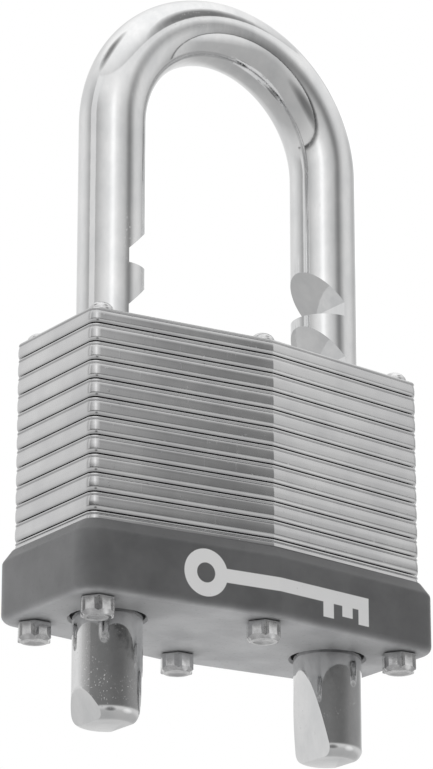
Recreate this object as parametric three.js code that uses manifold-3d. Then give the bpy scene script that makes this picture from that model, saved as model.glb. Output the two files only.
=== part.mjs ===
// A laminated padlock whose notched shackle slides through the body and locks at several heights.
// Millimetres. X runs along the lock's width, +Y is its back, where the key goes in, and +Z points
// up the shackle. Heights below are measured from the underside of the bumper.
import * as THREE from "three";
import { mergeVertices } from "three/addons/utils/BufferGeometryUtils.js";
import Module from "manifold-3d";

const wasm = await Module();
wasm.setup();

// Shackle
const LEG_RADIUS = 4;
const LEG_X = 15.4;
const ARCH_CENTRE_Z = 60.27;
const LEG_TIP_Z = -12.3;
const TIP_CURVE = [
  [2.9, -12.3],
  [3.48, -12.08],
  [3.84, -11.6],
  [4, -10.9],
];
const INNER_TAPER_Z = -1.9;
const INNER_TAPER_SLOPE = 0.187;
const OUTER_BEVEL_Z = -8.55;
const OUTER_BEVEL_SLOPE = 0.44;
const NOTCH_COUNT = 6;
const TOP_SHELF_Z = 41.69;
const NOTCH_PITCH = 6.93;
const NOTCH_DEPTH = 4.15;
const NOTCH_FLAT = 1.75;
const NOTCH_RISE = 4;

// Laminated body
const PLATE = { halfWidth: 23.2, endDepth: 8.22, midDepth: 10.77, corner: 1.2 };
const BODY_TOP_Z = 33.41;
const TOP_PLATE_Z = 31.48;
const PLATE_PITCH = 2.21;
const INNER_PLATES = 12;
const PLATE_GAP = 0.05;
const BASE_PLATE_Z = 1.65;
const LEG_HOLE_RADIUS = 4.25;
const RIVET_HOLE_RADIUS = 1.2;

// Bumper
const BUMPER = { halfWidth: 24.62, endDepth: 9.55, midDepth: 11.98, corner: 2.8 };
const BUMPER_FLOOR = 1.6;
const BUMPER_SHOULDER_Z = 7;
const BUMPER_TOP_Z = 8.5;
const BUMPER_EDGE = 0.9;
const BUMPER_CLEARANCE = 0.15;
const BUMPER_HOLE_RADIUS = 4.3;

// Rivets
const RIVET_RADIUS = 1.1;
const RIVET_DOME_RADIUS = 1.45;
const RIVET_DOME_HEIGHT = 1.35;
const RIVET_HEX_RADIUS = 2.13;
const RIVET_HEAD_HEIGHT = 2.2;
const RIVETS = {
  rivet_front_left: [-20.99, -6.47],
  rivet_front_middle: [0, -8.61],
  rivet_front_right: [20.99, -6.47],
  rivet_back_left: [-20.99, 6.47],
  rivet_back_middle: [0, 8.61],
  rivet_back_right: [20.99, 6.47],
};

// Key cylinder, which lies along Y and opens at the back
const PLUG_X = 6.175;
const PLUG_Z = 13.2;
const PLUG_RADIUS = 3.2;
const PLUG_FLANGE_RADIUS = 3.65;
const PLUG_INNER_Y = -5.3;
const CYLINDER_FACE_Y = 9.4;
const KEYWAY_HALF_HEIGHT = 2.4;
const KEYWAY_WIDTH = 1.4;
const HOUSING_RADIUS = 4.2;
const HOUSING_BORE = 3.3;
const HOUSING_INNER_Y = -4.3;
const CHAMBER_Y = [-2.6, 0.4, 3.4, 6.4];
const CHAMBER_RADIUS = 0.95;
const CHAMBER_BLOCK_Z = 4.2;
const PIN_RADIUS = 0.85;
const KEY_PIN_LENGTHS = [1.95, 2.4, 1.65, 2.15];
const DRIVE_PIN_RADIUS = 0.65;
const DRIVE_PIN_THROW = 2;

// Latches and the slide that draws them back
const LATCH_HALF_DEPTH = 2.5;
const LATCH_BOTTOM_Z = 20.53;
const LATCH_TOP_Z = 24.75;
const LATCH_INNER_X = 2.6;
const LATCH_TIP_X = 11.1;
const NOSE_BOTTOM_Z = 21;
const NOSE_TIP_TOP_Z = 23.55;
const LATCH_MID_Z = 22.64;
const LATCH_TRAVEL = 3.2;
const PEG_X = 6.2;
const PEG_RADIUS = 0.8;
const SLIDE_TRAVEL = Math.SQRT2 * DRIVE_PIN_THROW;
const SLIDE_FRONT_Y = -6.7;
const SLIDE_BACK_Y = -5.6;
const SLIDE_HALF_WIDTH = 11.6;
const SLIDE_BOTTOM_Z = 16.8;
const SLIDE_TOP_Z = 24.5;
const TONGUE_BOTTOM_Z = 9.6;

const COLOURS = {
  plate: 0xb9bcbf,
  bumper: 0x5d5f61,
  rivet: 0xc9ccce,
  shackle: 0xd8dadc,
  brass: 0xb08d4a,
  spring: 0x8e9296,
  latch: 0x9a9ea1,
};

function solid(geometry) {
  const bare = geometry.clone();
  bare.deleteAttribute("normal");
  bare.deleteAttribute("uv");
  const merged = mergeVertices(bare, 1e-4);
  return new wasm.Manifold(
    new wasm.Mesh({
      numProp: 3,
      vertProperties: new Float32Array(merged.attributes.position.array),
      triVerts: new Uint32Array(merged.index.array),
    }),
  );
}

function geometryOf(body) {
  const mesh = body.getMesh();
  const geometry = new THREE.BufferGeometry();
  geometry.setAttribute("position", new THREE.BufferAttribute(mesh.vertProperties, 3));
  geometry.setIndex(new THREE.BufferAttribute(mesh.triVerts, 1));
  geometry.computeVertexNormals();
  return geometry;
}

function box(x0, x1, y0, y1, z0, z1) {
  const geometry = new THREE.BoxGeometry(x1 - x0, y1 - y0, z1 - z0);
  geometry.translate((x0 + x1) / 2, (y0 + y1) / 2, (z0 + z1) / 2);
  return solid(geometry);
}

function rodZ(radius, x, y, z0, z1, sides) {
  const geometry = new THREE.CylinderGeometry(radius, radius, z1 - z0, sides);
  geometry.rotateX(Math.PI / 2);
  geometry.translate(x, y, (z0 + z1) / 2);
  return solid(geometry);
}

function rodY(radius, x, z, y0, y1, sides) {
  const geometry = new THREE.CylinderGeometry(radius, radius, y1 - y0, sides);
  geometry.translate(x, (y0 + y1) / 2, z);
  return solid(geometry);
}

function rodX(radius, y, z, x0, x1, sides) {
  const geometry = new THREE.CylinderGeometry(radius, radius, x1 - x0, sides);
  geometry.rotateZ(Math.PI / 2);
  geometry.translate((x0 + x1) / 2, y, z);
  return solid(geometry);
}

// A polygon drawn in X and Z, carried along Y.
function prismY(points, y0, y1) {
  const shape = new THREE.Shape(points.map(([x, z]) => new THREE.Vector2(x, z)));
  const geometry = new THREE.ExtrudeGeometry(shape, { depth: y1 - y0, bevelEnabled: false });
  geometry.rotateX(Math.PI / 2);
  geometry.translate(0, y1, 0);
  return solid(geometry);
}

function mirrored(points) {
  return points.map(([x, z]) => [-x, z]).reverse();
}

// The body's plan: two straight ends, and a front and back that bend outwards at the middle.
function outline(plan, inset, cornerSteps) {
  const slope = (plan.midDepth - plan.endDepth) / plan.halfWidth;
  const halfWidth = plan.halfWidth - inset;
  const midDepth = plan.midDepth - inset * Math.hypot(1, slope);
  const radius = Math.max(plan.corner - inset, 0.2);
  const tilt = Math.atan(slope);
  const centreX = halfWidth - radius;
  const centreY = midDepth - slope * centreX - radius * Math.hypot(1, slope);
  const quarter = [];
  for (let i = 0; i <= cornerSteps; i++) {
    const angle = (i / cornerSteps) * (Math.PI / 2 - tilt);
    quarter.push([centreX + radius * Math.cos(angle), centreY + radius * Math.sin(angle)]);
  }
  const back = [...quarter, [0, midDepth], ...quarter.map(([x, y]) => [-x, y]).reverse()];
  return [...back, ...back.map(([x, y]) => [-x, -y])];
}

// Rings of equally many points, joined into one closed skin with flat ends.
function loft(rings) {
  const count = rings[0].length;
  const position = rings.flat(2);
  const index = [];
  for (let r = 0; r + 1 < rings.length; r++) {
    for (let i = 0; i < count; i++) {
      const a = r * count + i;
      const b = r * count + ((i + 1) % count);
      index.push(a, b, b + count, a, b + count, a + count);
    }
  }
  const last = (rings.length - 1) * count;
  for (let i = 1; i + 1 < count; i++) {
    index.push(0, i + 1, i, last, last + i, last + i + 1);
  }
  const geometry = new THREE.BufferGeometry();
  geometry.setAttribute("position", new THREE.Float32BufferAttribute(position, 3));
  geometry.setIndex(index);
  return geometry;
}

// A round wire wound in even turns along Z from 0 to its length, about the origin.
function coil(radius, wire, length, turns) {
  const rings = [];
  const steps = turns * 9;
  const climb = (length - 2 * wire) / steps;
  for (let i = 0; i <= steps; i++) {
    const angle = (i / 9) * 2 * Math.PI;
    const ring = [];
    for (let j = 0; j < 5; j++) {
      const around = (j / 5) * 2 * Math.PI;
      const out = radius + wire * Math.cos(around);
      const height = wire + i * climb + wire * Math.sin(around);
      ring.push([out * Math.cos(angle), out * Math.sin(angle), height]);
    }
    rings.push(ring.reverse());
  }
  return loft(rings);
}

const lock = new THREE.Group();
lock.position.z = -LEG_TIP_Z;

function add(name, geometry, colour) {
  const metal = colour === "bumper" ? 0.1 : 0.9;
  const material = new THREE.MeshStandardMaterial({
    color: COLOURS[colour],
    metalness: metal,
    roughness: 0.4,
  });
  const mesh = new THREE.Mesh(geometry, material);
  mesh.name = name;
  lock.add(mesh);
}

// The shackle is one bent rod, notched on the inner side of both legs.
function shackle() {
  const stations = TIP_CURVE.map(([radius, z]) => [-LEG_X, z, Math.PI, radius]);
  for (let i = 0; i <= 22; i++) {
    const angle = Math.PI * (1 - i / 22);
    const x = LEG_X * Math.cos(angle);
    stations.push([x, ARCH_CENTRE_Z + LEG_X * Math.sin(angle), angle, LEG_RADIUS]);
  }
  for (const [radius, z] of [...TIP_CURVE].reverse()) {
    stations.push([LEG_X, z, 0, radius]);
  }
  const rings = stations.map(([x, z, angle, radius]) => {
    const ring = [];
    for (let i = 0; i < 28; i++) {
      const around = (i / 28) * 2 * Math.PI;
      const out = radius * Math.cos(around);
      ring.push([x + out * Math.cos(angle), radius * Math.sin(around), z + out * Math.sin(angle)]);
    }
    return ring;
  });
  let body = solid(loft(rings.map((ring) => ring.reverse())));
  for (let i = 0; i < NOTCH_COUNT; i++) {
    const notch = notchOutline(TOP_SHELF_Z - i * NOTCH_PITCH);
    body = body.subtract(prismY(notch, -6, 6)).subtract(prismY(mirrored(notch), -6, 6));
  }
  for (const cut of [innerTaper(), outerBevel()]) {
    body = body.subtract(prismY(cut, -6, 6)).subtract(prismY(mirrored(cut), -6, 6));
  }
  return geometryOf(body);
}

// A level shelf that a latch holds against, an upright back, and a slope that pushes it aside.
function notchOutline(shelfZ) {
  const mouth = LEG_X - LEG_RADIUS;
  const flatTop = shelfZ + NOTCH_FLAT;
  const steepness = NOTCH_RISE / NOTCH_DEPTH;
  return [
    [mouth - 1, shelfZ],
    [mouth + NOTCH_DEPTH, shelfZ],
    [mouth + NOTCH_DEPTH, flatTop],
    [mouth - 1, flatTop + (NOTCH_DEPTH + 1) * steepness],
  ];
}

function innerTaper() {
  const face = LEG_X - LEG_RADIUS;
  const drop = INNER_TAPER_Z - LEG_TIP_Z + 1;
  return [
    [face - 2, INNER_TAPER_Z - drop],
    [face + drop * INNER_TAPER_SLOPE, INNER_TAPER_Z - drop],
    [face, INNER_TAPER_Z],
    [face - 2, INNER_TAPER_Z],
  ];
}

function outerBevel() {
  const face = LEG_X + LEG_RADIUS;
  const drop = OUTER_BEVEL_Z - LEG_TIP_Z + 1;
  return [
    [face - drop * OUTER_BEVEL_SLOPE, OUTER_BEVEL_Z - drop],
    [face + 2, OUTER_BEVEL_Z - drop],
    [face + 2, OUTER_BEVEL_Z],
    [face, OUTER_BEVEL_Z],
  ];
}

// The room left inside the stack for the latches, the slide and the key cylinder.
function cavities() {
  const latches = box(-12.6, 12.6, -2.62, 2.62, LATCH_BOTTOM_Z - 0.12, LATCH_TOP_Z + 0.14);
  const slide = box(-11.85, 11.85, SLIDE_FRONT_Y - 0.15, SLIDE_BACK_Y + 0.15, 16.6, 28.2);
  const tongue = box(5.65, 10.75, SLIDE_FRONT_Y - 0.15, SLIDE_BACK_Y + 0.15, 9.35, 17);
  const plugEnd = rodY(4.1, PLUG_X, PLUG_Z, SLIDE_BACK_Y, HOUSING_INNER_Y, 20);
  const housing = rodY(HOUSING_RADIUS + 0.15, PLUG_X, PLUG_Z, HOUSING_INNER_Y - 0.15, 13, 24);
  const chambers = box(PLUG_X - 2, PLUG_X + 2, HOUSING_INNER_Y - 0.15, 7.55, CHAMBER_BLOCK_Z - 0.15, PLUG_Z);
  let all = latches.add(slide).add(tongue).add(plugEnd).add(housing).add(chambers);
  for (const side of [-1, 1]) {
    const near = side * (PEG_X - 1.1);
    const far = side * (PEG_X + LATCH_TRAVEL + 1.1);
    const height = PEG_RADIUS + 0.25;
    const left = Math.min(near, far);
    const right = Math.max(near, far);
    all = all.add(box(left, right, SLIDE_BACK_Y, -2.5, LATCH_MID_Z - height, LATCH_MID_Z + height));
  }
  return all;
}

function plate(z0, z1, room) {
  const shape = new THREE.Shape(outline(PLATE, 0, 3).map(([x, y]) => new THREE.Vector2(x, y)));
  for (const side of [-1, 1]) {
    const hole = new THREE.Path();
    for (let i = 0; i < 20; i++) {
      const angle = (i / 20) * 2 * Math.PI;
      const radius = LEG_HOLE_RADIUS / Math.cos(Math.PI / 20);
      const x = side * LEG_X + radius * Math.cos(angle);
      hole[i ? "lineTo" : "moveTo"](x, radius * Math.sin(angle));
    }
    shape.holes.push(hole);
  }
  const slab = new THREE.ExtrudeGeometry(shape, { depth: z1 - z0, bevelEnabled: false });
  slab.translate(0, 0, z0);
  let body = solid(slab);
  for (const [x, y] of Object.values(RIVETS)) {
    body = body.subtract(rodZ(RIVET_HOLE_RADIUS, x, y, z0 - 1, z1 + 1, 8));
  }
  return geometryOf(body.subtract(room));
}

function bumper() {
  const profile = [
    [0, BUMPER_EDGE],
    [0.26, 0.26],
    [BUMPER_EDGE, 0],
    [BUMPER_SHOULDER_Z, 0],
    [BUMPER_SHOULDER_Z + 0.75, 0.4],
    [BUMPER_TOP_Z, 1.1],
  ];
  const rings = profile.map(([z, inset]) => outline(BUMPER, inset, 4).map(([x, y]) => [x, y, z]));
  const inside = [BUMPER_FLOOR, BUMPER_TOP_Z + 1].map((z) =>
    outline(PLATE, -BUMPER_CLEARANCE, 4).map(([x, y]) => [x, y, z]),
  );
  let body = solid(loft(rings)).subtract(solid(loft(inside)));
  for (const side of [-1, 1]) {
    body = body.subtract(rodZ(BUMPER_HOLE_RADIUS, side * LEG_X, 0, -1, BUMPER_FLOOR + 1, 28));
  }
  for (const [x, y] of Object.values(RIVETS)) {
    body = body.subtract(rodZ(RIVET_HOLE_RADIUS, x, y, -1, BUMPER_FLOOR + 1, 8));
  }
  return geometryOf(body);
}

// A through rivet: domed over the top plate, with a chamfered hexagon head under the bumper.
function rivet(x, y) {
  const shank = rodZ(RIVET_RADIUS, 0, 0, -0.5, BODY_TOP_Z + 0.3, 10);
  const base = BODY_TOP_Z + 0.02;
  const dome = [[0, base]];
  for (let i = 0; i <= 4; i++) {
    const angle = (i / 4) * (Math.PI / 2);
    dome.push([RIVET_DOME_RADIUS * Math.cos(angle), base + RIVET_DOME_HEIGHT * Math.sin(angle)]);
  }
  const bottom = -RIVET_HEAD_HEIGHT;
  const turned = [
    [0, bottom + 0.22],
    [0.95, bottom],
    [1.62, bottom],
    [2.15, bottom + 0.45],
    [2.15, -0.02],
    [0, -0.02],
  ];
  const hexagon = rodZ(RIVET_HEX_RADIUS, 0, 0, bottom - 1, 1, 6).rotate([0, 0, 30]);
  const head = lathe(turned, 18).intersect(hexagon);
  return geometryOf(shank.add(lathe(dome, 12)).add(head)).translate(x, y, 0);
}

// A profile of [radius, z] points, turned about Z and closed on the axis.
function lathe(points, sides) {
  const geometry = new THREE.LatheGeometry(
    points.map(([radius, z]) => new THREE.Vector2(radius, z)),
    sides,
  );
  geometry.rotateX(Math.PI / 2);
  const body = solid(geometry);
  return body.volume() > 0 ? body : solid(flipped(geometry));
}

function flipped(geometry) {
  const index = geometry.index.array;
  for (let i = 0; i < index.length; i += 3) {
    [index[i + 1], index[i + 2]] = [index[i + 2], index[i + 1]];
  }
  return geometry;
}

function cylinderHousing() {
  const sleeve = rodY(HOUSING_RADIUS, PLUG_X, PLUG_Z, HOUSING_INNER_Y, CYLINDER_FACE_Y, 24);
  const block = box(PLUG_X - 1.85, PLUG_X + 1.85, HOUSING_INNER_Y, 7.4, CHAMBER_BLOCK_Z, PLUG_Z);
  const bore = rodY(HOUSING_BORE, PLUG_X, PLUG_Z, -6, 10, 24);
  const seat = rodY(PLUG_FLANGE_RADIUS + 0.1, PLUG_X, PLUG_Z, 8.3, 10, 24);
  let body = sleeve.add(block).subtract(bore).subtract(seat);
  for (const y of CHAMBER_Y) {
    body = body.subtract(rodZ(CHAMBER_RADIUS, PLUG_X, y, CHAMBER_BLOCK_Z + 0.9, PLUG_Z - 1, 12));
  }
  return geometryOf(body);
}

function keyPlug() {
  const barrel = rodY(PLUG_RADIUS, PLUG_X, PLUG_Z, PLUG_INNER_Y, CYLINDER_FACE_Y, 24);
  const flange = rodY(PLUG_FLANGE_RADIUS, PLUG_X, PLUG_Z, 8.4, CYLINDER_FACE_Y, 24);
  const keyway = box(
    PLUG_X - KEYWAY_HALF_HEIGHT,
    PLUG_X + KEYWAY_HALF_HEIGHT,
    -4,
    10,
    PLUG_Z - KEYWAY_WIDTH / 2,
    PLUG_Z + KEYWAY_WIDTH / 2,
  );
  const groove = ringY(2.75, 3.6, PLUG_INNER_Y + 0.3, PLUG_INNER_Y + 0.8);
  const [driveX, driveZ] = drivePinCentre();
  const driveHole = rodY(DRIVE_PIN_RADIUS + 0.05, driveX, driveZ, -6, -3.5, 12);
  let body = barrel.add(flange).subtract(keyway).subtract(groove).subtract(driveHole);
  for (const y of CHAMBER_Y) {
    body = body.subtract(rodX(CHAMBER_RADIUS, y, PLUG_Z, PLUG_X - 4, PLUG_X - 0.6, 12));
  }
  return geometryOf(body);
}

function ringY(inner, outer, y0, y1) {
  return rodY(outer, PLUG_X, PLUG_Z, y0, y1, 20).subtract(rodY(inner, PLUG_X, PLUG_Z, y0 - 1, y1 + 1, 20));
}

// An open spring clip in the groove at the plug's inner end.
function plugClip() {
  const ring = ringY(2.85, 3.8, PLUG_INNER_Y + 0.35, PLUG_INNER_Y + 0.75);
  return geometryOf(ring.subtract(box(PLUG_X - 5, PLUG_X, -6, -4, PLUG_Z - 1.1, PLUG_Z + 1.1)));
}

function drivePinCentre() {
  const reach = DRIVE_PIN_THROW * Math.SQRT1_2;
  return [PLUG_X + reach, PLUG_Z - reach];
}

function drivePin() {
  const [x, z] = drivePinCentre();
  return geometryOf(rodY(DRIVE_PIN_RADIUS, x, z, -6.55, -3.6, 12));
}

function keyPin(y, length) {
  const outer = PLUG_RADIUS - 0.05;
  const turned = lathe(
    [
      [0, 0],
      [PIN_RADIUS, 0],
      [PIN_RADIUS, length - 0.5],
      [0.3, length],
      [0, length],
    ],
    10,
  );
  const geometry = geometryOf(turned);
  geometry.rotateY(Math.PI / 2);
  return geometry.translate(PLUG_X - outer, y, PLUG_Z);
}

function driverPin(y) {
  return geometryOf(rodZ(PIN_RADIUS, PLUG_X, y, PLUG_Z - 5.3, PLUG_Z - 3.4, 10));
}

function pinSpring(y) {
  return coil(0.62, 0.15, 2.6, 4).translate(PLUG_X, y, PLUG_Z - 7.98);
}

function latchOutline() {
  const noseStart = LATCH_TIP_X - 3.5;
  const relief = NOSE_BOTTOM_Z - LATCH_BOTTOM_Z;
  return [
    [LATCH_INNER_X, LATCH_BOTTOM_Z],
    [noseStart, LATCH_BOTTOM_Z],
    [noseStart + relief, NOSE_BOTTOM_Z],
    [LATCH_TIP_X, NOSE_BOTTOM_Z],
    [LATCH_TIP_X, NOSE_TIP_TOP_Z],
    [LATCH_TIP_X - (LATCH_TOP_Z - NOSE_TIP_TOP_Z), LATCH_TOP_Z],
    [LATCH_INNER_X, LATCH_TOP_Z],
  ];
}

function latch(side) {
  const points = side > 0 ? latchOutline() : mirrored(latchOutline());
  const block = prismY(points, -LATCH_HALF_DEPTH, LATCH_HALF_DEPTH);
  const ends = [side * (LATCH_INNER_X - 1), side * (LATCH_INNER_X + 2.2)].sort((a, b) => a - b);
  const pocket = rodX(1.8, 0, LATCH_MID_Z, ends[0], ends[1], 14);
  const hole = rodY(PEG_RADIUS + 0.05, side * PEG_X, LATCH_MID_Z, -3, 0, 12);
  return geometryOf(block.subtract(pocket).subtract(hole));
}

function latchPeg(side) {
  return geometryOf(rodY(PEG_RADIUS, side * PEG_X, LATCH_MID_Z, -6.5, -0.1, 12));
}

function latchSpring() {
  const geometry = coil(1.35, 0.28, 9.4, 6);
  geometry.rotateY(Math.PI / 2);
  return geometry.translate(-4.7, 0, LATCH_MID_Z);
}

// A flat plate that the plug's drive pin raises. Its two sloping windows hold the latch pegs in.
function camSlide() {
  const plateBody = box(
    -SLIDE_HALF_WIDTH,
    SLIDE_HALF_WIDTH,
    SLIDE_FRONT_Y,
    SLIDE_BACK_Y,
    SLIDE_BOTTOM_Z,
    SLIDE_TOP_Z,
  );
  const tongue = box(5.9, 10.5, SLIDE_FRONT_Y, SLIDE_BACK_Y, TONGUE_BOTTOM_Z, SLIDE_BOTTOM_Z + 1);
  const [driveX, driveZ] = drivePinCentre();
  const room = DRIVE_PIN_RADIUS + 0.25;
  const sway = DRIVE_PIN_THROW * (1 - Math.SQRT1_2);
  const slot = box(driveX - room, driveX + sway + room, -8, -4, driveZ - room, driveZ + room);
  const window = camWindow();
  const cut = slot.add(prismY(window, -8, -4)).add(prismY(mirrored(window), -8, -4));
  return geometryOf(plateBody.add(tongue).subtract(cut));
}

function camWindow() {
  const room = PEG_RADIUS + 0.25;
  const length = Math.hypot(LATCH_TRAVEL, SLIDE_TRAVEL);
  const outX = (room * SLIDE_TRAVEL) / length;
  const outZ = (room * LATCH_TRAVEL) / length;
  const low = LATCH_MID_Z - SLIDE_TRAVEL;
  return [
    [PEG_X - 1.2, low - room],
    [PEG_X + LATCH_TRAVEL + room, low - room],
    [PEG_X + LATCH_TRAVEL + room, low],
    [PEG_X + LATCH_TRAVEL + outX, low + outZ],
    [PEG_X + outX, LATCH_MID_Z + outZ],
    [PEG_X + outX - 0.3, LATCH_MID_Z + room],
    [PEG_X - 1.2, LATCH_MID_Z + room],
  ];
}

const room = cavities();
add("top_plate", plate(TOP_PLATE_Z + PLATE_GAP, BODY_TOP_Z, room), "plate");
for (let i = 0; i < INNER_PLATES; i++) {
  const z1 = TOP_PLATE_Z - i * PLATE_PITCH;
  const name = "plate_" + String(i + 2).padStart(2, "0");
  add(name, plate(z1 - PLATE_PITCH + PLATE_GAP, z1, room), "plate");
}
const lowest = TOP_PLATE_Z - INNER_PLATES * PLATE_PITCH;
add("base_plate", plate(BASE_PLATE_Z, lowest, room), "plate");
add("bumper", bumper(), "bumper");
for (const [name, [x, y]] of Object.entries(RIVETS)) {
  add(name, rivet(x, y), "rivet");
}
add("shackle", shackle(), "shackle");
add("cylinder_housing", cylinderHousing(), "brass");
add("key_plug", keyPlug(), "brass");
add("plug_clip", plugClip(), "spring");
add("drive_pin", drivePin(), "latch");
CHAMBER_Y.forEach((y, i) => {
  add("key_pin_" + (i + 1), keyPin(y, KEY_PIN_LENGTHS[i]), "brass");
  add("driver_pin_" + (i + 1), driverPin(y), "brass");
  add("pin_spring_" + (i + 1), pinSpring(y), "spring");
});
add("cam_slide", camSlide(), "latch");
add("latch_left", latch(-1), "latch");
add("latch_right", latch(1), "latch");
add("latch_peg_left", latchPeg(-1), "latch");
add("latch_peg_right", latchPeg(1), "latch");
add("latch_spring", latchSpring(), "spring");

const padlock = new THREE.Group();
padlock.add(lock);
export default padlock;
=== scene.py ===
import bpy
import bmesh
import numpy as np
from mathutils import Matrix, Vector


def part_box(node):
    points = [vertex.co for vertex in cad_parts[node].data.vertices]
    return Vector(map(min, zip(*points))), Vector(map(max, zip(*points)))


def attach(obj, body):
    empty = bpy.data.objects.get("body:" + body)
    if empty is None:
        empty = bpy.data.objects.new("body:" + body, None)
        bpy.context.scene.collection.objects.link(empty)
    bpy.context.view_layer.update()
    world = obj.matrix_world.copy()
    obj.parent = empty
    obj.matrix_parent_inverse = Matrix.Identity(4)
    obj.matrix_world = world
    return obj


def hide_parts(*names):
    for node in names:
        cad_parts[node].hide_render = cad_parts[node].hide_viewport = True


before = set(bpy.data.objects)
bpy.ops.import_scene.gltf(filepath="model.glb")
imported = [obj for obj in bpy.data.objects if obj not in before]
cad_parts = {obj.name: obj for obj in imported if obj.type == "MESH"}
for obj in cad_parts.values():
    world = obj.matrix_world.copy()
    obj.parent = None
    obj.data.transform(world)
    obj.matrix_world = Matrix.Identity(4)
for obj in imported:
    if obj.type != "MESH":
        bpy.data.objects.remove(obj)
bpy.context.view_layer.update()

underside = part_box("bumper")[0].z * 1000.0
body_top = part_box("top_plate")[1].z * 1000.0 - underside


# ---------------------------------------------------------------------------------------------
# Laminated plates. Fourteen pieces of mild steel, stamped to one six-sided outline, zinc plated
# and stacked. The punch rolls the lower edge over, draws the upper edge in and creases it, so each
# joint shows as a bright roll above thin dark lines. Lengths are in millimetres throughout.
PLATE_END_DEPTH = 8.22
PLATE_CORNER = 1.2
PLATE_FOLD = 0.5
UPPER_EDGE = (0.12, 0.20)
CREASE_BOTTOM = 0.42
DRAWN_IN = (0.09, 0.70)
ROLLED_EDGE = (0.20, 0.54)
RAISED_UNDERSIDE = 0.09
SHARP_ANGLE = 35.0
LEG_X = 15.4
LEG_HOLE = 4.25
RIVET_HOLE = 1.2
RIVET_PLACES = {"front_left": (-20.99, -6.47), "front_middle": (0.0, -8.61), "front_right": (20.99, -6.47),
                "back_left": (-20.99, 6.47), "back_middle": (0.0, 8.61), "back_right": (20.99, 6.47)}


def body_outline(half_width, end_depth, mid_depth, corner, fold, steps=10):
    """The six-sided plan with its corners rounded: at each corner an arc is drawn about the point
    that lies one radius inside both sides, from the normal of one side to that of the next.
    Returns the points and their outward normals."""
    corners = np.array([[half_width, -end_depth], [half_width, end_depth], [0, mid_depth],
                        [-half_width, end_depth], [-half_width, -end_depth], [0, -mid_depth]])
    radii = np.array([corner, corner, fold, corner, corner, fold])
    along = np.roll(corners, -1, axis=0) - corners
    along /= np.linalg.norm(along, axis=1, keepdims=True)
    after = np.stack([along[:, 1], -along[:, 0]], axis=1)
    before = np.roll(after, 1, axis=0)
    middle = before + after
    middle /= np.sum(middle * after, axis=1, keepdims=True)
    centres = corners - middle * radii[:, None]
    start = np.arctan2(before[:, 1], before[:, 0])
    turn = (np.arctan2(after[:, 1], after[:, 0]) - start + np.pi) % (2 * np.pi) - np.pi
    angles = start[:, None] + turn[:, None] * np.linspace(0, 1, steps)
    normals = np.stack([np.cos(angles), np.sin(angles)], axis=2)
    points = centres[:, None, :] + normals * radii[:, None, None]
    return points.reshape(-1, 2), normals.reshape(-1, 2)


def grid_faces(rows, columns):
    """Quads between neighbouring rows of a grid whose columns run round and close on themselves."""
    r, c = np.meshgrid(np.arange(rows - 1), np.arange(columns), indexing="ij")
    a = r * columns + c
    b = r * columns + (c + 1) % columns
    return np.stack([a, b, b + columns, a + columns], axis=2).reshape(-1, 4)


def piece(name, points, faces, body, material, stands_for=(), smooth=SHARP_ANGLE):
    """Makes a closed mesh from points in millimetres above the bumper's underside, merges points
    that coincide, turns the faces outwards, and puts it on its body. A cutting tool has no body."""
    mesh = bpy.data.meshes.new(name)
    placed = (np.asarray(points, float) + np.array([0, 0, underside])) * 0.001
    mesh.from_pydata(placed.tolist(), [], faces)
    work = bmesh.new()
    work.from_mesh(mesh)
    bmesh.ops.remove_doubles(work, verts=work.verts, dist=1e-7)
    bmesh.ops.recalc_face_normals(work, faces=work.faces)
    work.to_mesh(mesh)
    work.free()
    made = bpy.data.objects.new(name, mesh)
    bpy.context.scene.collection.objects.link(made)
    smooth_faces(made, smooth)
    if body:
        mesh.materials.append(material)
        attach(made, body)
        if stands_for:
            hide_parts(*stands_for)
    return made


def smooth_faces(made, degrees):
    """Smooth shading that breaks at every edge bent by more than the given angle."""
    made.data.shade_smooth()
    made.data.set_sharp_from_angle(angle=np.radians(degrees))


def lofted(rings):
    """Rings of equally many points as one skin, closed by a flat face at either end."""
    rings = np.asarray(rings, float)
    rows, columns = rings.shape[:2]
    faces = grid_faces(rows, columns).tolist()
    faces.append(list(range(columns))[::-1])
    faces.append(list(range((rows - 1) * columns, rows * columns)))
    return rings.reshape(-1, 3), faces


def rod_between(start, end, radius, sides=48, flare=0.0):
    """A round bar between two points: circles set square to the line that joins them. A flare
    widens its first end by that much over the same length."""
    start, end = np.asarray(start, float), np.asarray(end, float)
    line = (end - start) / np.linalg.norm(end - start)
    side = np.cross(line, [0.0, 0.0, 1.0] if abs(line[2]) < 0.9 else [1.0, 0.0, 0.0])
    side /= np.linalg.norm(side)
    other = np.cross(line, side)
    angle = np.linspace(0, 2 * np.pi, sides, endpoint=False)[:, None]
    circle = np.cos(angle) * side + np.sin(angle) * other
    stations = [(start, radius + flare), (start + line * max(flare, 1e-3), radius), (end, radius)]
    return lofted([middle + circle * size for middle, size in stations])


def block_between(low, high):
    """A rectangular block between two corners, as two rings of four points."""
    (x0, y0, z0), (x1, y1, z1) = low, high
    plan = [(x0, y0), (x1, y0), (x1, y1), (x0, y1)]
    return lofted([[(x, y, z) for x, y in plan] for z in (z0, z1)])


def cut_out(made, shapes, operation="DIFFERENCE"):
    """Cuts closed shapes out of a piece, or joins them to it, one after the other."""
    for points, faces in shapes:
        tool = piece("tool", points, faces, None, None)
        change = made.modifiers.new("cut", "BOOLEAN")
        change.operation = operation
        change.solver = "MANIFOLD"
        change.object = tool
        seen = made.evaluated_get(bpy.context.evaluated_depsgraph_get())
        result = bpy.data.meshes.new_from_object(seen)
        made.modifiers.remove(change)
        old, made.data = made.data, result
        result.name = made.name
        bpy.data.meshes.remove(old)
        bpy.data.meshes.remove(tool.data)
    smooth_faces(made, SHARP_ANGLE)
    return made


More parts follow.
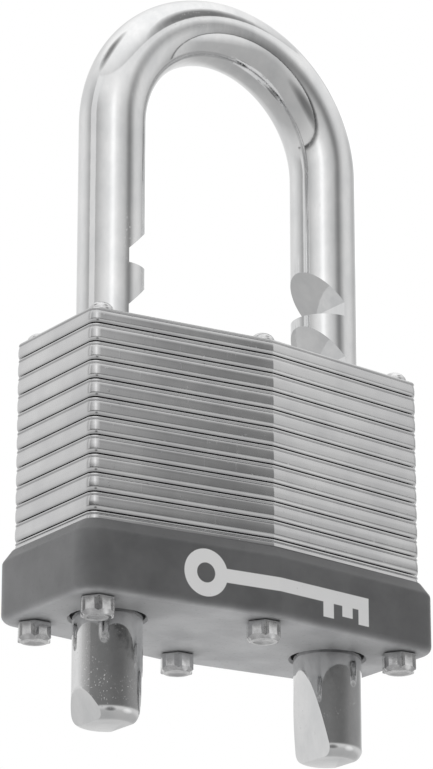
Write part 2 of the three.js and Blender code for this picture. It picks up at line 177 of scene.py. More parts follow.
def rounded_edge(inset, height, side, steps=6):
    """A quarter ellipse as (inset, height) pairs: from a flat face to the wall when side is below,
    and from the wall to a flat face when side is above."""
    angle = np.linspace(0, np.pi / 2, steps)
    if side == "below":
        return np.stack([inset * (1 - np.sin(angle)), height * (1 - np.cos(angle))], axis=1)
    return np.stack([inset * (1 - np.cos(angle)), height * (np.sin(angle) - 1)], axis=1)


def steel_nodes(material, colour, roughness, metallic=1.0):
    """A principled shader, metal unless stated, with its colour, sheen and bump ready to be driven
    by textures."""
    material.use_nodes = True
    tree = material.node_tree
    shader = tree.nodes["Principled BSDF"]
    shader.inputs["Base Color"].default_value = (*colour, 1.0)
    shader.inputs["Metallic"].default_value = metallic
    shader.inputs["Roughness"].default_value = roughness
    place = tree.nodes.new("ShaderNodeTexCoord")
    return tree, shader, place


def streaks(tree, place, scale, detail=3.0, rough=0.6):
    """Noise on object coordinates, stretched by a different scale along each axis (per metre)."""
    mapping = tree.nodes.new("ShaderNodeMapping")
    mapping.inputs["Scale"].default_value = scale
    tree.links.new(place.outputs["Object"], mapping.inputs["Vector"])
    noise = tree.nodes.new("ShaderNodeTexNoise")
    noise.inputs["Scale"].default_value = 1.0
    noise.inputs["Detail"].default_value = detail
    noise.inputs["Roughness"].default_value = rough
    tree.links.new(mapping.outputs["Vector"], noise.inputs["Vector"])
    return noise.outputs["Fac"]


def stretch(tree, value, low, high, new_low, new_high):
    """Carries the range low to high over to a new range, clamped at both ends."""
    node = tree.nodes.new("ShaderNodeMapRange")
    node.inputs["From Min"].default_value = low
    node.inputs["From Max"].default_value = high
    node.inputs["To Min"].default_value = new_low
    node.inputs["To Max"].default_value = new_high
    tree.links.new(value, node.inputs["Value"])
    return node.outputs["Result"]


def combine(tree, kind, a, b):
    """One arithmetic step on two values, each a socket or a number."""
    node = tree.nodes.new("ShaderNodeMath")
    node.operation = kind
    for socket, value in zip(node.inputs, (a, b)):
        if isinstance(value, (int, float)):
            socket.default_value = value
        else:
            tree.links.new(value, socket)
    return node.outputs["Value"]


def shade_between(tree, factor, dark, light):
    """A colour between two others."""
    node = tree.nodes.new("ShaderNodeMix")
    node.data_type = "RGBA"
    node.inputs["A"].default_value = (*dark, 1.0)
    node.inputs["B"].default_value = (*light, 1.0)
    tree.links.new(factor, node.inputs["Factor"])
    return node.outputs["Result"]


def blotched(tree, noise, dark, light):
    """A colour that wanders between two others with the noise."""
    return shade_between(tree, stretch(tree, noise, 0.35, 0.65, 0.0, 1.0), dark, light)


def raise_grain(tree, shader, heights):
    """Adds up bumps given as (height field, depth in metres), and turns them into the normal."""
    normal = None
    for height, depth in heights:
        bump = tree.nodes.new("ShaderNodeBump")
        bump.inputs["Strength"].default_value = 1.0
        bump.inputs["Distance"].default_value = depth
        tree.links.new(height, bump.inputs["Height"])
        if normal:
            tree.links.new(normal, bump.inputs["Normal"])
        normal = bump.outputs["Normal"]
    tree.links.new(normal, shader.inputs["Normal"])


plate_steel = bpy.data.materials.new("zinc_plated_plate_steel")
tree, shader, place = steel_nodes(plate_steel, (0.62, 0.62, 0.62), 0.34)
rolling = streaks(tree, place, (55, 55, 5200), 4.0, 0.65)
cloud = streaks(tree, place, (160, 160, 160), 3.0, 0.6)
flecks = streaks(tree, place, (1500, 1500, 2200), 2.0, 0.5)
scuffs = streaks(tree, place, (2600, 2600, 420), 2.0, 0.5)
fleck_mask = stretch(tree, flecks, 0.70, 0.76, 0.0, 1.0)
scuff_mask = stretch(tree, scuffs, 0.66, 0.74, 0.0, 1.0)
tint = combine(tree, "ADD", combine(tree, "MULTIPLY", rolling, 0.2), combine(tree, "MULTIPLY", cloud, 0.8))
tree.links.new(blotched(tree, tint, (0.60, 0.60, 0.605), (0.70, 0.70, 0.70)), shader.inputs["Base Color"])
sheen = combine(tree, "ADD", stretch(tree, rolling, 0.3, 0.7, 0.08, 0.13),
                stretch(tree, cloud, 0.35, 0.65, -0.02, 0.05))
sheen = combine(tree, "ADD", sheen, combine(tree, "MULTIPLY", scuff_mask, 0.10))
tree.links.new(sheen, shader.inputs["Roughness"])
raise_grain(tree, shader, [(rolling, 1e-6), (cloud, 2e-5), (fleck_mask, 6e-6), (scuff_mask, 2e-6)])

LEGS = (-LEG_X, LEG_X)
PLUG_X, PLUG_Z = 6.175, 13.2
WORKS_ROOM = {
    "latches": block_between((-12.6, -2.62, 20.41), (12.6, 2.62, 24.89)),
    "slide": block_between((-11.85, -6.85, 16.6), (11.85, -5.45, 28.2)),
    "slide's foot": block_between((5.65, -6.85, 9.35), (10.75, -5.45, 17.0)),
    "plug's inner end": rod_between((PLUG_X, -5.6, PLUG_Z), (PLUG_X, -4.3, PLUG_Z), 4.1),
    "housing": rod_between((PLUG_X, -4.45, PLUG_Z), (PLUG_X, 13.0, PLUG_Z), 4.35, 64),
    "pin block": block_between((4.175, -4.45, 4.05), (8.175, 7.55, 13.2)),
    "right peg": block_between((5.1, -5.6, 21.59), (10.5, -2.5, 23.69)),
    "left peg": block_between((-10.5, -5.6, 21.59), (-5.1, -2.5, 23.69)),
}


def stamped_plate(node):
    """The outline is carried up a section: a rolled lower edge, a straight wall, a shoulder drawn
    in along a parabola, a crease, and an upper edge. Each point of the outline moves in along its
    own normal by the section's inset. Room for the works is cut where it crosses the plate."""
    low, high = (np.array(corner) * 1000.0 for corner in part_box(node))
    z0, z1 = low[2] - underside, high[2] - underside
    outline, normals = body_outline(high[0], PLATE_END_DEPTH, high[1], PLATE_CORNER, PLATE_FOLD)
    lower = rounded_edge(*ROLLED_EDGE, "below", 10) + [0.0, z0 + RAISED_UNDERSIDE]
    upper = rounded_edge(*UPPER_EDGE, "above", 5) + [0.05, z1]
    fall = np.linspace(1, 0, 8)
    shoulder = np.stack([DRAWN_IN[0] * (1 - fall) ** 2, z1 - CREASE_BOTTOM - DRAWN_IN[1] * fall], axis=1)
    crease = np.array([[0.24, z1 - 0.38], [0.26, z1 - 0.35], [0.24, z1 - 0.32], [0.09, z1 - 0.26]])
    section = np.concatenate([lower, shoulder, crease, upper])
    plan = outline[None] - normals[None] * section[:, None, 0:1]
    heights = np.broadcast_to(section[:, None, 1:2], plan.shape[:2] + (1,))
    points, faces = lofted(np.concatenate([plan, heights], axis=2))
    made = piece("stamped_" + node, points, faces, "body", plate_steel, [node])
    tools = [rod_between((x, 0, z0 - 1), (x, 0, z1 + 1), LEG_HOLE, 64) for x in LEGS]
    tools += [rod_between((x, y, z0 - 1), (x, y, z1 + 1), RIVET_HOLE, 24) for x, y in RIVET_PLACES.values()]
    tools += [(points, faces) for points, faces in WORKS_ROOM.values()
              if points[:, 2].min() < z1 and points[:, 2].max() > z0]
    return cut_out(made, tools)


plate_nodes = ["top_plate"] + ["plate_%02d" % number for number in range(2, 14)] + ["base_plate"]
for node in plate_nodes:
    stamped_plate(node)


# ---------------------------------------------------------------------------------------------
# Rivets. Six long steel rivets clamp the stack. The shank is headed over the top plate as a small
# dome, and its lower end carries a hexagonal head that bears on the bumper.
DOME_RADIUS, DOME_HEIGHT = 1.45, 1.35
RIVET_SHANK = 1.1
HEX_APOTHEM, HEAD_HEIGHT = 1.845, 2.2
HEX_CORNER_LIMIT, DIMPLE_RING = 1.135, 1.60

rivet_steel = bpy.data.materials.new("headed_rivet_steel")
tree, shader, place = steel_nodes(rivet_steel, (0.72, 0.72, 0.72), 0.28)
hammered = streaks(tree, place, (1400, 1400, 1400), 3.0, 0.55)
grime = streaks(tree, place, (600, 600, 600), 3.0, 0.6)
tree.links.new(blotched(tree, grime, (0.56, 0.56, 0.565), (0.78, 0.78, 0.78)), shader.inputs["Base Color"])
tree.links.new(stretch(tree, hammered, 0.3, 0.7, 0.12, 0.24), shader.inputs["Roughness"])
raise_grain(tree, shader, [(hammered, 8e-6), (grime, 1.5e-5)])


def headed_rivet(place_name, x, y):
    """One surface round the rivet's axis, from the dome's crown down the shank and over the head.
    In the head the radius at each angle is the hexagon's, r = apothem / cos(angle within a side),
    with its corners eased. The set tool leaves a cone at the end that runs highest up the middle
    of each side, and a ring round the dimple."""
    bend = np.linspace(0, np.pi / 2, 9)
    skirt = 0.25
    dome = np.stack([DOME_RADIUS * np.sin(bend),
                     body_top + skirt + (DOME_HEIGHT - skirt) * np.cos(bend)], axis=1)
    rim = [(DOME_RADIUS, body_top + 0.12), (DOME_RADIUS - 0.12, body_top + 0.02),
           (RIVET_SHANK, body_top + 0.02)]
    turned = np.array([*dome.tolist(), *rim, (RIVET_SHANK, -0.02)])
    sides = 120
    angle = np.linspace(0, 2 * np.pi, sides, endpoint=False)
    in_side = angle % (np.pi / 3) - np.pi / 6
    hexagon = np.minimum(HEX_APOTHEM / np.cos(in_side), HEX_APOTHEM * HEX_CORNER_LIMIT)
    cone_top = -1.98 + 0.50 * np.cos(3 * in_side)
    flat = np.full(sides, -HEAD_HEIGHT)
    ring = np.full(sides, DIMPLE_RING)
    head = [(hexagon - 0.12, np.full(sides, -0.02)), (hexagon, np.full(sides, -0.12))]
    head += [(hexagon + (ring - hexagon) * t, cone_top + (flat + 0.03 - cone_top) * t)
             for t in (0, 0.2, 0.5, 0.8, 1)]
    head += [(ring - 0.04, flat), (ring - 0.38, flat), (ring - 0.44, flat + 0.05), (ring - 0.8, flat + 0.16),
             (ring * 0, flat + 0.2)]
    radius = np.concatenate([np.repeat(turned[:, 0:1], sides, axis=1), [row[0] for row in head]])
    height = np.concatenate([np.repeat(turned[:, 1:2], sides, axis=1), [row[1] for row in head]])
    points = np.stack([x + radius * np.cos(angle), y + radius * np.sin(angle), height], axis=2)
    faces = grid_faces(len(radius), sides).tolist()
    return piece("headed_rivet_" + place_name, points.reshape(-1, 3), faces, "body",
                 rivet_steel, ["rivet_" + place_name], 30.0)


for place_name, (x, y) in RIVET_PLACES.items():
    headed_rivet(place_name, x, y)


# ---------------------------------------------------------------------------------------------
# Bumper. A moulded dark grey cup that covers the lowest plates and keeps the lock from marking
# what it hangs on. Its shoulder slopes in to the plates, and the legs pass through its floor.
BUMPER_END_DEPTH, BUMPER_CORNER, BUMPER_FOLD = 9.55, 2.8, 1.6
BUMPER_FLOOR, BUMPER_TOP, SHOULDER = 1.6, 8.5, 7.0
BUMPER_EDGE, BUMPER_CLEARANCE = 0.9, 0.15
BUMPER_HOLE, HOLE_FLARE = 4.3, 0.28
INK_EDGE = 0.00003

bumper_plastic = bpy.data.materials.new("moulded_grey_bumper")
tree, shader, place = steel_nodes(bumper_plastic, (0.085, 0.086, 0.088), 0.42, 0.0)
grain = streaks(tree, place, (5200, 5200, 5200), 2.0, 0.5)
haze = streaks(tree, place, (220, 220, 220), 3.0, 0.6)
dust = streaks(tree, place, (2100, 2100, 2100), 2.0, 0.5)
spot = tree.nodes.new("ShaderNodeSeparateXYZ")
tree.links.new(place.outputs["Object"], spot.inputs["Vector"])


def printed_bar(x0, x1, z0, z1):
    """A mask that is 1 inside a rectangle on the bumper's front, given in millimetres across and
    up from its underside, and falls to 0 over twice the ink's edge, which is in metres."""
    sides = []
    for output, low, high in (("X", x0, x1), ("Z", z0 + underside, z1 + underside)):
        off = combine(tree, "SUBTRACT", spot.outputs[output], (low + high) / 2000)
        off = combine(tree, "ABSOLUTE", off, 0.0)
        half = (high - low) / 2000
        sides.append(stretch(tree, off, half - INK_EDGE, half + INK_EDGE, 1.0, 0.0))
    return combine(tree, "MULTIPLY", *sides)


def printed_ring(x, z, outer, inner):
    """A mask that is 1 between two radii about a point on the bumper's front, in millimetres."""
    across = combine(tree, "SUBTRACT", spot.outputs["X"], x / 1000)
    up = combine(tree, "SUBTRACT", spot.outputs["Z"], (z + underside) / 1000)
    square = combine(tree, "ADD", combine(tree, "MULTIPLY", across, across),
                     combine(tree, "MULTIPLY", up, up))
    off = combine(tree, "SUBTRACT", combine(tree, "SQRT", square, 0.0), (outer + inner) / 2000)
    off = combine(tree, "ABSOLUTE", off, 0.0)
    half = (outer - inner) / 2000
    return stretch(tree, off, half - INK_EDGE, half + INK_EDGE, 1.0, 0.0)


# The printed key: a ring for its bow, given by its middle and two radii, and bars for the rest.
KEY_BOW = (-9.6, 3.75, 2.75, 1.15)
KEY_SHANK_AND_TEETH = ((-7.3, 13.4, 2.95, 4.55), (6.4, 8.0, 1.2, 3.2), (9.3, 10.9, 1.7, 3.2),
                       (11.8, 13.4, 1.2, 3.2))
ink = printed_ring(*KEY_BOW)
for bar in KEY_SHANK_AND_TEETH:
    ink = combine(tree, "MAXIMUM", ink, printed_bar(*bar))
ink = combine(tree, "MULTIPLY", ink, stretch(tree, spot.outputs["Y"], -0.0081, -0.0080, 1.0, 0.0))
worn = combine(tree, "MULTIPLY", ink, stretch(tree, dust, 0.70, 0.76, 1.0, 0.75))
plain = blotched(tree, haze, (0.100, 0.101, 0.103), (0.128, 0.129, 0.131))
marked = shade_between(tree, worn, (0, 0, 0), (0.80, 0.80, 0.80))
tree.links.new(plain, marked.node.inputs["A"])
tree.links.new(marked, shader.inputs["Base Color"])
satin = combine(tree, "ADD", stretch(tree, haze, 0.3, 0.7, 0.36, 0.46),
                stretch(tree, dust, 0.62, 0.72, 0.0, 0.12))
tree.links.new(satin, shader.inputs["Roughness"])
raise_grain(tree, shader, [(grain, 1.2e-5), (haze, 4e-5)])


def moulded_bumper():
    """The outer outline climbs a section with a rounded foot, a straight wall and a sloped
    shoulder. Over the rim the plates' own outline, set out by the clearance, leads down inside."""
    low, high = (np.array(corner) * 1000.0 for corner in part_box("bumper"))
    outer, outer_normals = body_outline(high[0], BUMPER_END_DEPTH, high[1], BUMPER_CORNER, BUMPER_FOLD)
    plate_high = np.array(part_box("plate_12")[1]) * 1000.0
    inner, inner_normals = body_outline(plate_high[0], PLATE_END_DEPTH, plate_high[1], PLATE_CORNER,
                                        PLATE_FOLD)
    foot = rounded_edge(BUMPER_EDGE, BUMPER_EDGE, "below", 8)
    bend = np.linspace(0, np.pi / 4, 5)
    shoulder = np.stack([0.7 * (1 - np.cos(bend)), SHOULDER - 0.3 + 0.7 * np.sin(bend)], axis=1)
    crest = np.array([[1.02, BUMPER_TOP - 0.18], [1.10, BUMPER_TOP - 0.08], [1.2, BUMPER_TOP]])
    section = np.concatenate([foot, shoulder, crest])
    outside = np.concatenate([outer[None] - outer_normals[None] * section[:, None, 0:1],
                              np.broadcast_to(section[:, None, 1:2], (len(section), len(outer), 1))], axis=2)
    wall = np.array([[BUMPER_CLEARANCE, BUMPER_TOP], [BUMPER_CLEARANCE, BUMPER_FLOOR]])
    inside = np.concatenate([inner[None] + inner_normals[None] * wall[:, None, 0:1],
                             np.broadcast_to(wall[:, None, 1:2], (2, len(inner), 1))], axis=2)
    points, faces = lofted(np.concatenate([outside, inside]))
    made = piece("moulded_bumper", points, faces, "body", bumper_plastic, ["bumper"])
    tools = [rod_between((x, 0, -0.001), (x, 0, 3), BUMPER_HOLE, 72, HOLE_FLARE) for x in LEGS]
    tools += [rod_between((x, y, -1), (x, y, 3), RIVET_HOLE, 24) for x, y in RIVET_PLACES.values()]
    return cut_out(made, tools)


moulded_bumper()


# ---------------------------------------------------------------------------------------------
# Shackle. One length of 8 mm hardened steel rod, bent to a half circle and chrome plated. Both
# legs are notched on their inner sides and tapered at the tip, so that they find their holes.
LEG_RADIUS = 4.0
ARCH_HEIGHT = 60.27
TIP, TIP_CURVE = -12.3, 1.35
TAPER_TOP, TAPER_SLOPE = -1.9, 0.187
BEVEL_TOP, BEVEL_SLOPE = -8.55, 0.44
NOTCH_PITCH, TOP_SHELF = 6.93, 41.69
NOTCH_SHELVES = TOP_SHELF - NOTCH_PITCH * np.arange(5, -1, -1)
NOTCH_FLOOR = -0.15
NOTCH_FLAT = 1.75
NOTCH_STEEPNESS = 4.0 / 4.15
LEG_STATIONS_END = 50.0

shackle_chrome = bpy.data.materials.new("chromed_shackle_steel")
tree, shader, place = steel_nodes(shackle_chrome, (0.80, 0.80, 0.80), 0.16)
drawn = streaks(tree, place, (1500, 1500, 60), 3.0, 0.6)
cloud = streaks(tree, place, (300, 300, 180), 3.0, 0.6)
pits = streaks(tree, place, (5200, 5200, 4200), 2.0, 0.5)
pit_zone = streaks(tree, place, (140, 140, 90), 2.0, 0.5)
pit_mask = combine(tree, "MULTIPLY", stretch(tree, pits, 0.66, 0.72, 0.0, 1.0),
                   stretch(tree, pit_zone, 0.56, 0.68, 0.0, 1.0))
tree.links.new(blotched(tree, cloud, (0.74, 0.745, 0.75), (0.84, 0.84, 0.84)), shader.inputs["Base Color"])
gloss = combine(tree, "ADD", stretch(tree, drawn, 0.3, 0.7, 0.04, 0.08),
                stretch(tree, cloud, 0.35, 0.65, -0.01, 0.03))
gloss = combine(tree, "ADD", gloss, combine(tree, "MULTIPLY", pit_mask, 0.25))
tree.links.new(gloss, shader.inputs["Roughness"])
raise_grain(tree, shader, [(drawn, 2e-6), (cloud, 1.5e-5), (pit_mask, 8e-6)])


def rod_sections(radius, inner_cut, outer_cut):
    """Cross-sections of a round rod with a flat on its inner side and one on its outer side, each
    at a stated distance from the axis. Every ring has the same points: a chord across the inner
    flat, an arc, a chord across the outer flat and an arc back, so edges follow the grid. A chord
    spans a least angle either way, and bends with the rod where there is no flat."""
    least_angle = 0.22
    radius, inner_cut, outer_cut = (np.asarray(v, float)[:, None] for v in (radius, inner_cut, outer_cut))
    inner = np.maximum(np.arccos(np.clip(inner_cut / radius, -1, 1)), least_angle)
    outer = np.maximum(np.arccos(np.clip(outer_cut / radius, -1, 1)), least_angle)
    waist = np.full_like(inner, np.arccos(NOTCH_FLOOR / LEG_RADIUS))
    inner = np.minimum(inner, waist)

    def chord(angle, cut, count):
        across = radius * np.sin(angle) * np.linspace(-1, 1, count, endpoint=False)
        depth = np.minimum(np.sqrt(np.maximum(radius ** 2 - across ** 2, 0)), cut)
        return np.stack([np.broadcast_to(depth, across.shape), across], axis=2)

    def arc(start, end, count):
        angle = start + (end - start) * np.linspace(0, 1, count, endpoint=False)
        return np.stack([radius * np.cos(angle), radius * np.sin(angle)], axis=2)

    parts = [chord(inner, inner_cut, 16), arc(inner, waist, 14), arc(waist, np.pi - outer, 14),
             -chord(outer, outer_cut, 16), arc(np.pi + outer, 2 * np.pi - waist, 14),
             arc(2 * np.pi - waist, 2 * np.pi - inner, 14)]
    return np.concatenate(parts, axis=1)


def leg_stations():
    """Heights up one leg, with the rod's radius and the distances of its two flats at each: the
    rounded end, the long inner taper and the outer bevel, then the notches. A notch is a level
    shelf, an upright back and a slope, whose steps are even in the angle that its chord spans."""
    curve = np.linspace(0, np.pi / 2, 10)
    z = np.concatenate([TIP + TIP_CURVE * (1 - np.cos(curve)), np.linspace(-10.8, -8.6, 12),
                        np.linspace(-8.4, TAPER_TOP, 16)])
    sunk = np.clip((TIP + TIP_CURVE - z) / TIP_CURVE, 0, 1)
    radius = LEG_RADIUS - TIP_CURVE * 0.8 * (1 - np.sqrt(1 - sunk ** 2))
    taper = LEG_RADIUS - np.maximum(0.0, TAPER_TOP - z) * TAPER_SLOPE
    bevel = LEG_RADIUS - np.maximum(0.0, BEVEL_TOP - z) * BEVEL_SLOPE
    rows = [np.stack([z, radius, np.minimum(radius, taper), np.minimum(radius, bevel)], axis=1)]
    cut = LEG_RADIUS * np.cos(np.linspace(np.arccos(NOTCH_FLOOR / LEG_RADIUS), 0.0, 26))
    full = np.full(len(cut), LEG_RADIUS)
    for shelf in NOTCH_SHELVES:
        slope = shelf + NOTCH_FLAT + (cut - NOTCH_FLOOR) * NOTCH_STEEPNESS
        rows.append([[shelf, LEG_RADIUS, LEG_RADIUS, LEG_RADIUS],
                     [shelf, LEG_RADIUS, NOTCH_FLOOR, LEG_RADIUS]])
        rows.append(np.stack([slope, full, cut, full], axis=1))
    rows.append([[LEG_STATIONS_END, LEG_RADIUS, LEG_RADIUS, LEG_RADIUS]])
    return np.concatenate(rows)


def notched_shackle():
    """Sections are carried up the left leg, round the half circle and down the right leg. At each
    station the section's first axis points inwards, to the arch's centre, and its second along Y."""
    leg = leg_stations()
    sweep = np.linspace(np.pi, 0, 73)
    arch = np.tile([0.0, LEG_RADIUS, LEG_RADIUS, LEG_RADIUS], (len(sweep), 1))
    rows = np.concatenate([leg, arch, leg[::-1]])
    sections = rod_sections(rows[:, 1], rows[:, 2], rows[:, 3])
    left = np.stack([np.full(len(leg), -LEG_X), leg[:, 0]], axis=1)
    round_top = np.stack([LEG_X * np.cos(sweep), ARCH_HEIGHT + LEG_X * np.sin(sweep)], axis=1)
    right = left[::-1] * [-1.0, 1.0]
    path = np.concatenate([left, round_top, right])
    across = np.tile([1.0, 0.0], (len(leg), 1))
    inward = np.concatenate([across, -np.stack([np.cos(sweep), np.sin(sweep)], axis=1), -across])
    rings = np.stack([path[:, None, 0] + sections[:, :, 0] * inward[:, None, 0], sections[:, :, 1],
                      path[:, None, 1] + sections[:, :, 0] * inward[:, None, 1]], axis=2)
    points, faces = lofted(rings)
    made = piece("notched_shackle", points, faces, "shackle", shackle_chrome,
                 ["shackle"], 30.0)
    edge = made.modifiers.new("plated_edges", "BEVEL")
    edge.width, edge.segments = 0.00014, 2
    edge.limit_method, edge.angle_limit = "ANGLE", np.radians(28)
    edge.use_clamp_overlap = True
    edge.harden_normals = True
    return made


notched_shackle()


# ---------------------------------------------------------------------------------------------
# Key cylinder. A brass housing lies through the back of the stack, and the plug turns in it. Four
# brass pins ride in the plug, with drivers and springs in the block below.
plug_brass = bpy.data.materials.new("turned_cylinder_brass")
tree, shader, place = steel_nodes(plug_brass, (0.66, 0.50, 0.24), 0.3)
turning = streaks(tree, place, (3000, 200, 3000), 2.0, 0.5)
tarnish = streaks(tree, place, (350, 350, 350), 4.0, 0.6)
tree.links.new(blotched(tree, tarnish, (0.48, 0.35, 0.16), (0.70, 0.54, 0.27)), shader.inputs["Base Color"])
tree.links.new(stretch(tree, turning, 0.3, 0.7, 0.22, 0.40), shader.inputs["Roughness"])
raise_grain(tree, shader, [(turning, 4e-6), (tarnish, 2e-5)])

FACE_Y = 9.4
CHAMBERS = (-2.6, 0.4, 3.4, 6.4)
CHAMBER_RADIUS = 0.95
DRIVE_PIN_THROW = 2.0


def turned_along_y(section, centre_x, centre_z, sides=64):
    """A section of (radius, y) pairs turned about an axis along Y. A section that starts and ends
    on the axis closes itself, and one that returns to its start makes a ring."""
    section = np.array(section, float)
    angle = np.linspace(0, 2 * np.pi, sides, endpoint=False)
    x = centre_x + section[:, 0:1] * np.cos(angle)
    z = centre_z + section[:, 0:1] * np.sin(angle)
    y = np.broadcast_to(section[:, 1:2], x.shape)
    return np.stack([x, y, z], axis=2).reshape(-1, 3), grid_faces(len(section), sides).tolist()


def cylinder_housing():
    """A sleeve turned about the plug's axis, joined to the block that holds the pin chambers."""
    section = [(3.3, -4.3), (4.1, -4.3), (4.2, -4.2), (4.2, 9.25), (4.05, FACE_Y), (3.85, FACE_Y),
               (3.75, 9.3), (3.75, 8.3), (3.3, 8.3), (3.3, -4.3)]
    points, faces = turned_along_y(section, PLUG_X, PLUG_Z)
    made = piece("brass_cylinder_housing", points, faces, "body", plug_brass,
                 ["cylinder_housing"])
    cut_out(made, [block_between((PLUG_X - 1.85, -4.25, 4.2), (PLUG_X + 1.85, 7.4, 9.6))], "UNION")
    return cut_out(made, [rod_between((PLUG_X, y, 5.1), (PLUG_X, y, 11.0), CHAMBER_RADIUS, 24)
                          for y in CHAMBERS])


def turning_plug():
    """A turned barrel with a flange behind, slotted for the key and cross-drilled for its pins."""
    section = [(0, -5.3), (3.05, -5.3), (3.2, -5.15), (3.2, -5.0), (2.75, -5.0), (2.75, -4.5),
               (3.2, -4.5), (3.2, 8.4), (3.65, 8.4), (3.65, 9.28), (3.53, FACE_Y), (3.0, FACE_Y),
               (2.92, 9.33), (0, 9.33)]
    points, faces = turned_along_y(section, PLUG_X, PLUG_Z)
    made = piece("turning_plug", points, faces, "plug", plug_brass, ["key_plug"])
    keyway = [block_between((PLUG_X - 2.4, -4.0, PLUG_Z - 0.35), (PLUG_X + 2.4, 10.0, PLUG_Z + 0.7)),
              block_between((PLUG_X - 2.4, -4.0, PLUG_Z - 0.7), (PLUG_X - 0.7, 10.0, PLUG_Z + 0.2)),
              block_between((PLUG_X + 0.9, -4.0, PLUG_Z - 0.7), (PLUG_X + 2.4, 10.0, PLUG_Z + 0.2))]
    holes = [rod_between((PLUG_X - 4, y, PLUG_Z), (PLUG_X - 0.6, y, PLUG_Z), CHAMBER_RADIUS, 24)
             for y in CHAMBERS]
    drive_x, drive_z = PLUG_X + DRIVE_PIN_THROW * 0.5 ** 0.5, PLUG_Z - DRIVE_PIN_THROW * 0.5 ** 0.5
    drive = rod_between((drive_x, -6, drive_z), (drive_x, -3.5, drive_z), 0.7, 24)
    return cut_out(made, keyway + holes + [drive])


cylinder_housing()
turning_plug()

pin_brass = plug_brass.copy()
pin_brass.name = "tumbler_pin_brass"

spring_wire = bpy.data.materials.new("drawn_spring_wire")
tree, shader, place = steel_nodes(spring_wire, (0.50, 0.50, 0.51), 0.3)
wire_marks = streaks(tree, place, (2600, 2600, 2600), 3.0, 0.6)
wire_tint = blotched(tree, wire_marks, (0.40, 0.40, 0.41), (0.58, 0.58, 0.59))
tree.links.new(wire_tint, shader.inputs["Base Color"])
tree.links.new(stretch(tree, wire_marks, 0.3, 0.7, 0.22, 0.42), shader.inputs["Roughness"])
raise_grain(tree, shader, [(wire_marks, 4e-6)])


def wound_spring(name, start, end, radius, wire, turns, node):
    """A wire on a helix about the line from start to end: the radius stays the same, the angle
    grows evenly and the climb is gentler in the first and last turn, where the coils close."""
    start, end = np.asarray(start, float), np.asarray(end, float)
    length = np.linalg.norm(end - start)
    line = (end - start) / length
    side = np.cross(line, [0.0, 1.0, 0.0])
    side /= np.linalg.norm(side)
    other = np.cross(line, side)
    t = np.linspace(0, 1, turns * 24 + 1)
    climb = wire + (length - 2 * wire) * (t - np.sin(2 * np.pi * t) / (2 * np.pi) * 0.6)
    angle = 2 * np.pi * turns * t
    out = np.cos(angle)[:, None] * side + np.sin(angle)[:, None] * other
    around = np.linspace(0, 2 * np.pi, 10, endpoint=False)
    rings = (start + climb[:, None] * line + radius * out)[:, None] \
        + wire * (np.cos(around)[None, :, None] * out[:, None] + np.sin(around)[None, :, None] * line)
    points, faces = lofted(rings)
    return piece(name, points, faces, "body", spring_wire, [node], 60.0)


for number, y in enumerate(CHAMBERS, 1):
    wound_spring("wound_pin_spring_%d" % number, (PLUG_X, y, PLUG_Z - 7.98), (PLUG_X, y, PLUG_Z - 5.38),
                 0.62, 0.15, 6, "pin_spring_%d" % number)


def eased_copy(name, node, body, material, width):
    """The node's own solid, merged and given small rounded edges."""
    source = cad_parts[node]
    mesh = source.data.copy()
    mesh.name = name
    mesh.materials.clear()
    mesh.materials.append(material)
    work = bmesh.new()
    work.from_mesh(mesh)
    bmesh.ops.remove_doubles(work, verts=work.verts, dist=1e-6)
    bmesh.ops.dissolve_limit(work, angle_limit=np.radians(1.0), verts=work.verts, edges=work.edges)
    work.to_mesh(mesh)
    work.free()
    made = bpy.data.objects.new(name, mesh)
    bpy.context.scene.collection.objects.link(made)
    edge = made.modifiers.new("eased_edges", "BEVEL")
    edge.width, edge.segments = width * 0.001, 2
    edge.limit_method, edge.angle_limit = "ANGLE", np.radians(SHARP_ANGLE)
    smooth_faces(made, SHARP_ANGLE)
    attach(made, body)
    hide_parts(node)
    return made


for number in range(1, 5):
    eased_copy("tumbler_key_pin_%d" % number, "key_pin_%d" % number, "plug", pin_brass, 0.06)
    eased_copy("tumbler_driver_pin_%d" % number, "driver_pin_%d" % number, "body",
               pin_brass, 0.08)
eased_copy("open_plug_clip", "plug_clip", "plug", spring_wire, 0.05)


# ---------------------------------------------------------------------------------------------
# Latch works. Two hardened latches slide apart into the notches, pushed by the spring between
# them. The plug's drive pin moves a flat slide, and as the slide goes down its sloping windows
# draw the latch pegs in.
latch_steel = bpy.data.materials.new("ground_latch_steel")
tree, shader, place = steel_nodes(latch_steel, (0.46, 0.46, 0.47), 0.36)
grinding = streaks(tree, place, (120, 2600, 3200), 3.0, 0.6)
oil = streaks(tree, place, (260, 260, 260), 3.0, 0.6)
tree.links.new(blotched(tree, oil, (0.34, 0.335, 0.33), (0.54, 0.54, 0.55)), shader.inputs["Base Color"])
tree.links.new(stretch(tree, grinding, 0.3, 0.7, 0.26, 0.46), shader.inputs["Roughness"])
raise_grain(tree, shader, [(grinding, 4e-6), (oil, 1e-5)])

for side in ("left", "right"):
    latch = "latch_" + side
    eased_copy("ground_" + latch, latch, latch, latch_steel, 0.15)
    eased_copy("ground_latch_peg_" + side, "latch_peg_" + side, latch, latch_steel, 0.08)
eased_copy("blanked_cam_slide", "cam_slide", "slide", latch_steel, 0.08)
eased_copy("plug_drive_pin", "drive_pin", "plug", latch_steel, 0.08)
wound_spring("wound_latch_spring", (-4.7, 0, 22.64), (4.7, 0, 22.64), 1.35, 0.28, 8, "latch_spring")


